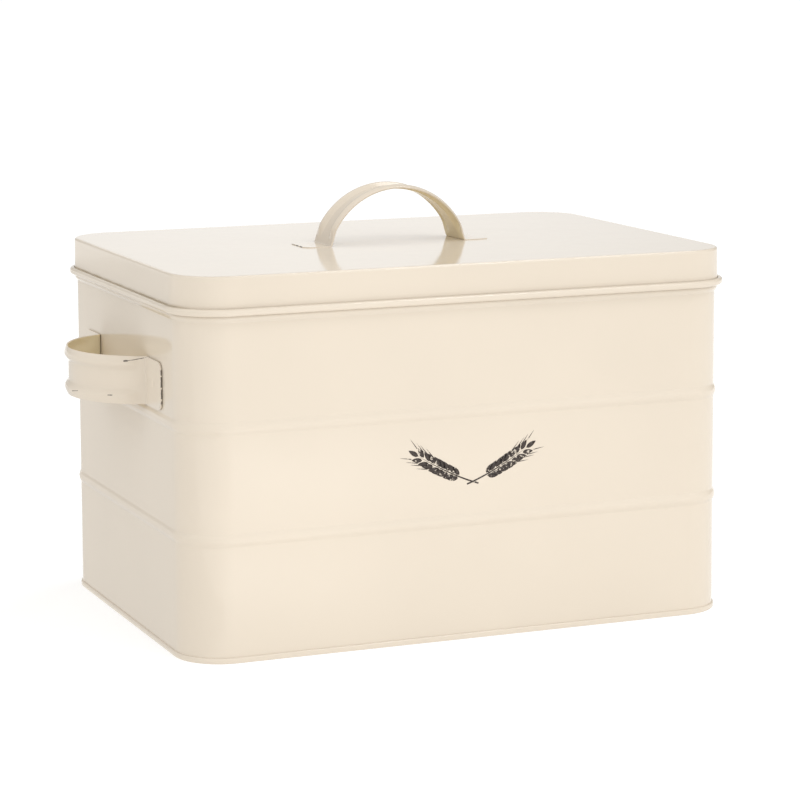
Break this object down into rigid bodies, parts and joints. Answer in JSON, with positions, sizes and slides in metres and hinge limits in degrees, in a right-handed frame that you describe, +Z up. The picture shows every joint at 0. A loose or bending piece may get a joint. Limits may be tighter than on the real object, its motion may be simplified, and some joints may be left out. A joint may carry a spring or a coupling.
{
  "type": "bread bin",
  "caption": "Rounded rectangular painted sheet-steel bread bin with pressed ribs, strap handles on its sides and a lift-off lid with a curled rim and a strap handle.",
  "frame": {"origin": "middle of the footprint, on the surface that the bin stands on", "axes": "+X along the long side, between the side handles; +Y to the back; +Z up"},
  "size_m": [0.3966, 0.2398, 0.248],
  "materials": {
    "cream_paint": "gloss",
    "handle_paint": "gloss"
  },
  "bodies": {
    "bin": {"body_wall": "cream_paint", "floor_panel": "cream_paint", "side_handle_left": "handle_paint", "side_handle_right": "handle_paint"},
    "lid": {"lid_shell": "cream_paint", "lid_handle": "handle_paint"}
  },
  "joints": [
    {"name": "lid_lift", "type": "slide", "parent": "bin", "child": "lid", "axis": [0, 0, 1], "range_m": [0, 0.2]}
  ]
}
